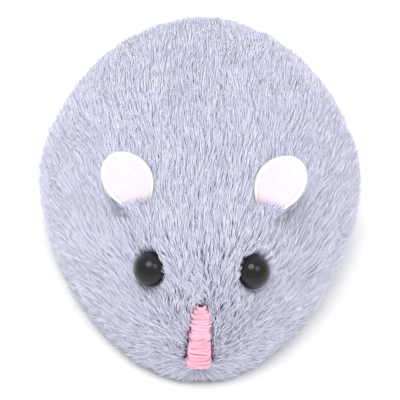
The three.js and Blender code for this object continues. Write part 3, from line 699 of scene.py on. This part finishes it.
def hair_mesh(name, paths, normals, widths, tints, materials):
    """Closed three-sided tapered hairs, each in a root, middle and tip shade: painted shade at the
    root, painted light at the tip.
    """
    count = len(paths)
    rings = len(HAIR_WIDTHS)
    per_hair = 3 * rings + 1
    tangents = unit(np.gradient(paths, axis=1))
    side = unit(np.cross(tangents, normals[:, None]))
    up = np.cross(side, tangents)
    corners = []
    for aside, above in ((1.0, -0.3), (0.0, 0.75), (-1.0, -0.3)):
        offset = side[:, :rings] * aside + up[:, :rings] * above
        scale = (HAIR_WIDTHS[None, :] * widths[:, None])[..., None]
        corners.append(paths[:, :rings] + offset * scale)
    ring_points = np.stack(corners, axis=2).reshape(count, 3 * rings, 3)
    points = np.concatenate([ring_points, paths[:, -1:]], axis=1)
    # Faces of the first ring and the root cap take the root colour, which is painted shade; the tip
    # faces take the tip colour, which is painted light.
    faces, shades = [], []
    for ring in range(rings - 1):
        for corner in range(3):
            after = (corner + 1) % 3
            low, high = 3 * ring, 3 * ring + 3
            faces.append([low + corner, high + corner, high + after, low + after])
            shades.append(0 if ring == 0 else 1)
    for corner in range(3):
        after = (corner + 1) % 3
        last = 3 * (rings - 1)
        faces.append([last + corner, 3 * rings, last + after])
        shades.append(2)
    faces.append([0, 1, 2])
    shades.append(0)
    sizes = np.array([len(face) for face in faces])
    flat = np.concatenate([np.array(face) for face in faces])
    loops = (flat[None, :] + per_hair * np.arange(count)[:, None]).ravel()
    starts = np.concatenate([[0], np.cumsum(sizes)[:-1]])
    starts = (starts[None, :] + sizes.sum() * np.arange(count)[:, None]).ravel()
    shade = np.array(shades)[None, :]
    # Slot 0 is the painted-shade root colour; each tint's middle colour follows, then its
    # painted-light tip colour.
    slots = np.where(shade == 0, 0, 1 + 2 * tints[:, None] + (shade - 1)).ravel()
    mesh = bpy.data.meshes.new(name)
    mesh.vertices.add(count * per_hair)
    mesh.vertices.foreach_set("co", points.astype(np.float32).ravel())
    mesh.loops.add(len(loops))
    mesh.loops.foreach_set("vertex_index", loops.astype(np.int32))
    mesh.polygons.add(len(starts))
    mesh.polygons.foreach_set("loop_start", starts.astype(np.int32))
    mesh.update(calc_edges=True)
    piece = add_object(name, mesh, *materials)
    mesh.polygons.foreach_set("material_index", slots.astype(np.int32))
    mesh.polygons.foreach_set("use_smooth", np.ones(len(starts), bool))
    mesh.update()
    return piece


def fur():
    """The pile over the whole pelt, in bands from the snout to the rump."""
    rng = np.random.default_rng(7)
    count = HAIR_COUNT
    angle, share = scatter(count, rng)
    paths, normals = hair_paths(angle, share, rng)
    paths = lean_on_ears(paths, rng)
    mottle = wave_noise(paths[:, 0], 6 * MM, rng) + 0.9 * rng.normal(size=count)
    levels = np.quantile(mottle, [0.14, 0.36, 0.66, 0.88])
    tints = np.searchsorted(levels, mottle)
    widths = HAIR_WIDTH * np.clip(rng.normal(1.0, 0.2, count), 0.5, 1.6)
    keep = clear_of_parts(paths)
    paths, normals, tints, widths = paths[keep], normals[keep], tints[keep], widths[keep]
    order = np.argsort(paths[:, 0, 1], kind="stable")
    materials = fur_materials()
    pieces = []
    for name, members in zip(FUR_BANDS, np.array_split(order, len(FUR_BANDS))):
        hairs = (paths[members], normals[members], widths[members], tints[members])
        piece = hair_mesh(f"fur_{name}", *hairs, materials)
        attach(piece, "chassis")
        pieces.append(piece)
    return pieces


fur_pieces = fur()
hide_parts("pelt")

# ------------------------------------------------------------------ ears

EAR_FELT = 0.9 * MM
EAR_CUP = 0.042
EAR_CURL = 0.006
EAR_SWEEP = 1.3 * MM
EAR_ROOT_SHIFT = 0.7 * MM


def ear_surface(side, share, aside, inset):
    """A point of the cupped ear, in its own frame: X aside, Y along, Z towards the front."""
    half = max(0.0, float(ear_half_width(np.array(max(share, 0)))) * EAR_TRIM - inset)
    if share < 0:
        half *= 1 + 1.6 * share
    x = aside * half
    y = share * EAR_LENGTH * EAR_TRIM
    swept = x + side * EAR_SWEEP * max(share, 0) * (share - 0.5)
    swept -= side * EAR_ROOT_SHIFT * (1 - min(max(share, 0), 1)) ** 2
    cup = EAR_CUP * MM * (x / MM) ** 2
    curl = -EAR_CURL * MM * (y / MM) ** 2
    return Vector((swept, y, cup + curl + float(ear_dip(y))))


def ear_shell(name, side, matrix, low, high, inset, lift, thickness, look):
    """A petal of felt from one share of the ear's length to another, with a rounded edge."""
    rows, columns = 26, 14
    bm = bmesh.new()
    grid = np.zeros((rows, columns + 1, 3))
    for r in range(rows):
        share = math.sin(math.pi / 2 * r / (rows - 1))
        height = low + (high - low) * share
        for c in range(columns + 1):
            aside = -1 + 2 * c / columns
            grid[r, c] = ear_surface(side, height, aside, inset) + Vector((0, 0, lift))
    grid_mesh(bm, grid)
    bmesh.ops.remove_doubles(bm, verts=bm.verts, dist=1e-6)
    bmesh.ops.transform(bm, matrix=matrix, verts=bm.verts)
    piece = from_bmesh(name, bm, look)
    thicken = piece.modifiers.new("thickness", "SOLIDIFY")
    thicken.thickness = thickness
    thicken.offset = 0
    thicken.use_even_offset = False
    round_edges(piece, thickness * 0.3)
    apply_modifiers(piece)
    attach(piece, "chassis")
    return piece


for side_name, side in SIDES:
    outer = ear_shell(
        f"ear_{side_name}_felt",
        side,
        ears[side_name],
        low=-EAR_TAB / EAR_LENGTH,
        high=1,
        inset=0,
        lift=0.5 * MM,
        thickness=EAR_FELT,
        look=looks["ear_felt"],
    )
    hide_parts(f"ear_{side_name}")
    inner = ear_shell(
        f"ear_{side_name}_inner",
        side,
        ears[side_name],
        low=0.02,
        high=0.93,
        inset=0.75 * MM,
        lift=1.1 * MM,
        thickness=0.25 * MM,
        look=looks["ear_lining"],
    )
    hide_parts(f"ear_lining_{side_name}")

# ------------------------------------------------------------------ eyes


def eye(side_name):
    """A polished bead on the stem that goes through the pelt."""
    point, normal = eyes[side_name]
    steps = 28
    start = math.asin(EYE_STEM_RADIUS / EYE_RADIUS)
    profile = [(0, -EYE_STEM_REACH), (EYE_STEM_RADIUS, -EYE_STEM_REACH)]
    for i in range(steps + 1):
        angle = start + (math.pi - start) * i / steps
        radius = 0 if i == steps else EYE_RADIUS * math.sin(angle)
        profile.append((radius, -EYE_SINK - EYE_RADIUS * math.cos(angle)))
    turn = normal.to_track_quat("Z", "Y").to_matrix().to_4x4()
    piece = turned(f"eye_{side_name}_bead", profile, 56, point, turn, looks["eye_bead"])
    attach(piece, "chassis")
    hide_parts(f"eye_{side_name}")


for side_name in eyes:
    eye(side_name)

# ------------------------------------------------------------------ nose

THREAD_RADIUS = 0.23 * MM
THREAD_PITCH = 0.34 * MM
LOOSE_STITCHES = 5


def nose_threads():
    """Satin stitch: threads laid side by side across the snout, their ends tucked in."""
    rng = np.random.default_rng(11)
    heights = np.linspace(NOSE_LOW, NOSE_HIGH, 400)
    profile = np.array([face_point(0, z)[0] for z in heights])
    run = np.concatenate([[0], np.cumsum(np.linalg.norm(np.diff(profile, axis=0), axis=1))])
    count = int(run[-1] / THREAD_PITCH)
    bm = bmesh.new()
    for number in range(count):
        share = (number + 0.5) / count
        z = float(np.interp(share * run[-1], run, heights))
        half = float(nose_half_width(z)) + 0.17 * MM * rng.normal()
        half *= 1 - 0.55 * max(0, (share - 0.88) / 0.12) ** 2
        slant = 0.14 * MM * rng.normal()
        proud = 0.25 * MM + 0.1 * MM * rng.normal()
        stitch(bm, z, half, slant, proud, rng)
    stitch(bm, NOSE_HIGH + 0.1 * MM, 0.75 * MM, 0, 0.15 * MM, rng)
    for _ in range(LOOSE_STITCHES):
        z = NOSE_LOW + (NOSE_HIGH - NOSE_LOW) * rng.uniform(0.1, 0.8)
        half = float(nose_half_width(z)) * rng.uniform(0.9, 1.05)
        stitch(bm, z, half, 0.8 * MM * rng.normal(), 0.5 * MM, rng)
    piece = from_bmesh("nose_threads", bm, looks["nose_thread"])
    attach(piece, "chassis")
    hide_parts("nose_stitch")


def stitch(bm, z, half, slant, proud, rng):
    """One thread across the nose, as a closed tube that dives into the pelt at each end."""
    steps, sides = 14, 8
    path = []
    wobble = rng.uniform(-1, 1) * 0.06 * MM
    for i in range(steps + 1):
        t = -1 + 2 * i / steps
        x = half * math.sin(t * math.pi / 2 * 0.98)
        height = z + slant * t + wobble * math.cos(3 * t)
        point, normal = face_point(min(max(x, -REAR * 0.3), REAR * 0.3), height)
        depth = proud - 1.6 * MM * abs(t) ** 5
        path.append(point + normal * depth)
    rings = []
    for i, point in enumerate(path):
        before, after = path[max(i - 1, 0)], path[min(i + 1, steps)]
        along = (after - before).normalized()
        side = along.cross(Vector((0, -1, 0))).normalized()
        out = side.cross(along).normalized()
        ring = []
        for s in range(sides):
            angle = 2 * math.pi * s / sides
            offset = side * math.cos(angle) + out * math.sin(angle)
            ring.append(bm.verts.new(point + offset * THREAD_RADIUS))
        rings.append(ring)
    for low, high in zip(rings, rings[1:]):
        for s in range(sides):
            n = (s + 1) % sides
            bm.faces.new((low[s], low[n], high[n], high[s]))
    bm.faces.new(rings[0][::-1])
    bm.faces.new(rings[-1])


nose_threads()

# ------------------------------------------------------------------ tail

tail_low, tail_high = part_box("tail")
TAIL_GRIP = 2.4 * MM
TAIL_ROOT_HALF_WIDTH = 2.2 * MM
TAIL_TAPER = 1.0 * MM
TAIL_THICKNESS = 1.1 * MM
TAIL_DROOP = 1.8 * MM
TAIL_ROUND_FROM = 0.93


def tail_strip():
    """A strip of felt that leaves the rump, sweeps to one side and droops a little."""
    start = Vector((0, CENTRE_Y + REAR - TAIL_GRIP, (tail_low[2] + tail_high[2]) / 2))
    end_x, end_y = tail_high[0] - 1.5 * MM, tail_high[1] - 1.6 * MM
    reach = end_y - start.y
    steps = 40
    bm = bmesh.new()
    rows = []
    for i in range(steps + 1):
        t = i / steps
        y = start.y + reach * math.sin(t * math.pi / 2 * 0.96) / math.sin(math.pi / 2 * 0.96)
        x = end_x * t ** 2.2
        z = start.z - TAIL_DROOP * t * t + 0.35 * MM * math.sin(5 * t)
        rows.append(Vector((x, y, z)))
    columns = 6
    grid = np.zeros((steps + 1, columns + 1, 3))
    for i, middle in enumerate(rows):
        before, after = rows[max(i - 1, 0)], rows[min(i + 1, steps)]
        along = (after - before).normalized()
        across = along.cross(Vector((0, 0, 1))).normalized()
        t = i / steps
        half = TAIL_ROOT_HALF_WIDTH - TAIL_TAPER * t
        if t > TAIL_ROUND_FROM:
            past = (t - TAIL_ROUND_FROM) / (1 - TAIL_ROUND_FROM)
            half *= math.sqrt(max(0.02, 1 - past ** 2))
        for c in range(columns + 1):
            aside = -1 + 2 * c / columns
            droop = -0.35 * MM * aside * aside * (1 - t)
            grid[i, c] = middle + across * (aside * half) + Vector((0, 0, droop))
    grid_mesh(bm, grid)
    piece = from_bmesh("tail_strip", bm, looks["tail_felt"])
    thicken = piece.modifiers.new("thickness", "SOLIDIFY")
    thicken.thickness = TAIL_THICKNESS
    thicken.offset = 0
    round_edges(piece, 0.3 * MM)
    apply_modifiers(piece)
    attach(piece, "chassis")
    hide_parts("tail")


tail_strip()

# ------------------------------------------------------------------ running gear and key


TYRE_THICKNESS = 1.3 * MM
TYRE_GROOVES = 4
TYRE_GROOVE = [(-0.38, 0), (-0.22, 0), (-0.12, 0.3), (0.12, 0.3), (0.22, 0), (0.38, 0)]
KEY_GRIP_WIDTH = 2.7 * MM
KEY_GRIP_HALF_THICKNESS = 0.9 * MM
KEY_EDGE = [(1.0, 0.72), (0.8, 0.94), (0.4, 1.0)]
KEY_HUB_PROFILE = [
    (1.85, 0),
    (2.3, 0),
    (2.5, 0.2),
    (2.5, 1.2),
    (2.2, 1.7),
    (1.4, 2.3),
    (0, 2.5),
    (0, 1.6),
    (1.85, 1.6),
    (1.85, 0),
]


def wheel(side_name):
    """A tyre with a grooved tread."""
    low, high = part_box(f"tyre_{side_name}")
    centre = Vector([(low[i] + high[i]) / 2 for i in range(3)])
    radius, half = (high[2] - low[2]) / 2, (high[0] - low[0]) / 2
    inner = radius - TYRE_THICKNESS
    shoulder = radius - 0.45 * MM
    edge = radius - 0.1 * MM
    profile = [(inner, -half), (shoulder, -half), (edge, -half + 0.35 * MM)]
    for i in range(TYRE_GROOVES):
        middle = -half + 0.5 * MM + (2 * half - 1.0 * MM) * (i + 0.5) / TYRE_GROOVES
        profile += [(radius - depth * MM, middle + offset * MM) for offset, depth in TYRE_GROOVE]
    profile += [(edge, half - 0.35 * MM), (shoulder, half), (inner, half), (inner, -half)]
    tyre = turned(f"tyre_{side_name}_tread", profile, 96, centre, ALONG_X, looks["tyre_rubber"])
    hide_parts(f"tyre_{side_name}")
    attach(tyre, "drive_axle")


def key():
    """The winding key: a socket and a flat grip with rounded ends and edges."""
    bm = bmesh.new()
    reach = (key_high[1] - key_low[1]) / 2
    x_out = key_high[0]
    x_grip = x_out - KEY_GRIP_WIDTH
    steps = 40
    half_height = (x_out - x_grip) / 2
    middle_x = (x_out + x_grip) / 2
    outline = []
    for i in range(steps):
        angle = 2 * math.pi * i / steps
        y = (reach - half_height) * (1 if math.cos(angle) > 0 else -1)
        x = middle_x + half_height * math.sin(angle)
        outline.append((x, y + half_height * math.cos(angle)))
    half = KEY_GRIP_HALF_THICKNESS
    levels = [(-half * share, scale) for share, scale in KEY_EDGE]
    levels += [(half * share, scale) for share, scale in reversed(KEY_EDGE)]
    rings = []
    for level, scale in levels:
        ring = []
        for x, y in outline:
            inset = (1 - scale) * half_height * 0.6
            dx = (x - middle_x) * (1 - (1 - scale) * 0.6)
            dy = y - math.copysign(inset, y)
            ring.append(bm.verts.new((middle_x + dx, KEY_AT[1] + dy, KEY_AT[2] + level)))
        rings.append(ring)
    for low, high in zip(rings, rings[1:]):
        for i in range(steps):
            j = (i + 1) % steps
            bm.faces.new((low[i], low[j], high[j], high[i]))
    bm.faces.new(rings[0][::-1])
    bm.faces.new(rings[-1])
    grip = from_bmesh("key_grip", bm, looks["gear_plastic"])
    profile = [(radius * MM, x * MM) for radius, x in KEY_HUB_PROFILE]
    hub_at = Vector((key_low[0], KEY_AT[1], KEY_AT[2]))
    hub = turned("key_hub", profile, 48, hub_at, ALONG_X, looks["gear_plastic"])
    for piece in (grip, hub):
        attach(piece, "winder")
        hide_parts("winding_key")


for side_name, _ in SIDES:
    wheel(side_name)
key()

# ------------------------------------------------------------------ carried-over CAD pieces

slot_of = {part["node"]: part["material_slot"] for part in frame["record"]["subparts"]}
replaced = {"pelt", "nose_stitch", "tail", "winding_key"}
for side_name, _ in SIDES:
    replaced |= {f"{kind}_{side_name}" for kind in ("ear", "ear_lining", "eye", "tyre")}

for name in frame["nodes"]:
    if name in replaced:
        continue
    for slot in frame["nodes"][name].material_slots:
        slot.material = looks[slot_of[name]]

# ------------------------------------------------------------------ floor, light and camera

FLOOR_HALF = 3.0
floor_corners = [(x * FLOOR_HALF, y * FLOOR_HALF, 0) for x, y in ((-1, -1), (1, -1), (1, 1), (-1, 1))]
floor_mesh = bpy.data.meshes.new("floor")
floor_mesh.from_pydata(floor_corners, [], [(0, 1, 2, 3)])
floor_look, _, _ = new_material("floor", Base_Color=rgba((0.97, 0.97, 0.97)), Roughness=0.9)
floor = add_object("floor", floor_mesh, floor_look)

world = bpy.data.worlds.new("studio")
world.use_nodes = True
background = world.node_tree.nodes["Background"]
background.inputs["Color"].default_value = (1, 1, 1, 1)
background.inputs["Strength"].default_value = 0.97
bpy.context.scene.world = world
bpy.context.scene.view_settings.view_transform = "Standard"


def area_light(name, place, aim, size, power):
    """A round soft light that faces a point."""
    light = bpy.data.lights.new(name, "AREA")
    light.shape = "DISK"
    light.size = size
    light.energy = power
    made = bpy.data.objects.new(name, light)
    made.location = place
    made.rotation_euler = (Vector(aim) - Vector(place)).to_track_quat("-Z", "Y").to_euler()
    bpy.context.scene.collection.objects.link(made)


AIM = (0, CENTRE_Y - 10 * MM, 20 * MM)
area_light("key_light", place=(-0.14, -0.16, 0.62), aim=AIM, size=0.4, power=1.85)
area_light("fill_light", place=(0.26, -0.24, 0.5), aim=AIM, size=0.3, power=0.6)

VIEW_RISE = math.radians(40)
VIEW_TURN = math.radians(-1.5)
VIEW_ROLL = math.radians(2.4)
VIEW_DISTANCE = 0.42
VIEW_WIDTH = 0.0717
SENSOR = 36
target = Vector((-0.25 * MM, CENTRE_Y - 13.65 * MM, 20 * MM))
camera_data = bpy.data.cameras.new("camera")
camera_data.sensor_width = SENSOR
camera_data.lens = SENSOR * VIEW_DISTANCE / VIEW_WIDTH
camera_data.clip_start = 0.01
camera = bpy.data.objects.new("camera", camera_data)
away = Matrix.Rotation(VIEW_TURN, 3, "Z") @ Vector((0, -math.cos(VIEW_RISE), math.sin(VIEW_RISE)))
camera.location = target + away * VIEW_DISTANCE
level = (-away).to_track_quat("-Z", "Y").to_matrix()
camera.rotation_euler = (level @ Matrix.Rotation(VIEW_ROLL, 3, "Z")).to_euler()
bpy.context.scene.collection.objects.link(camera)
bpy.context.scene.camera = camera
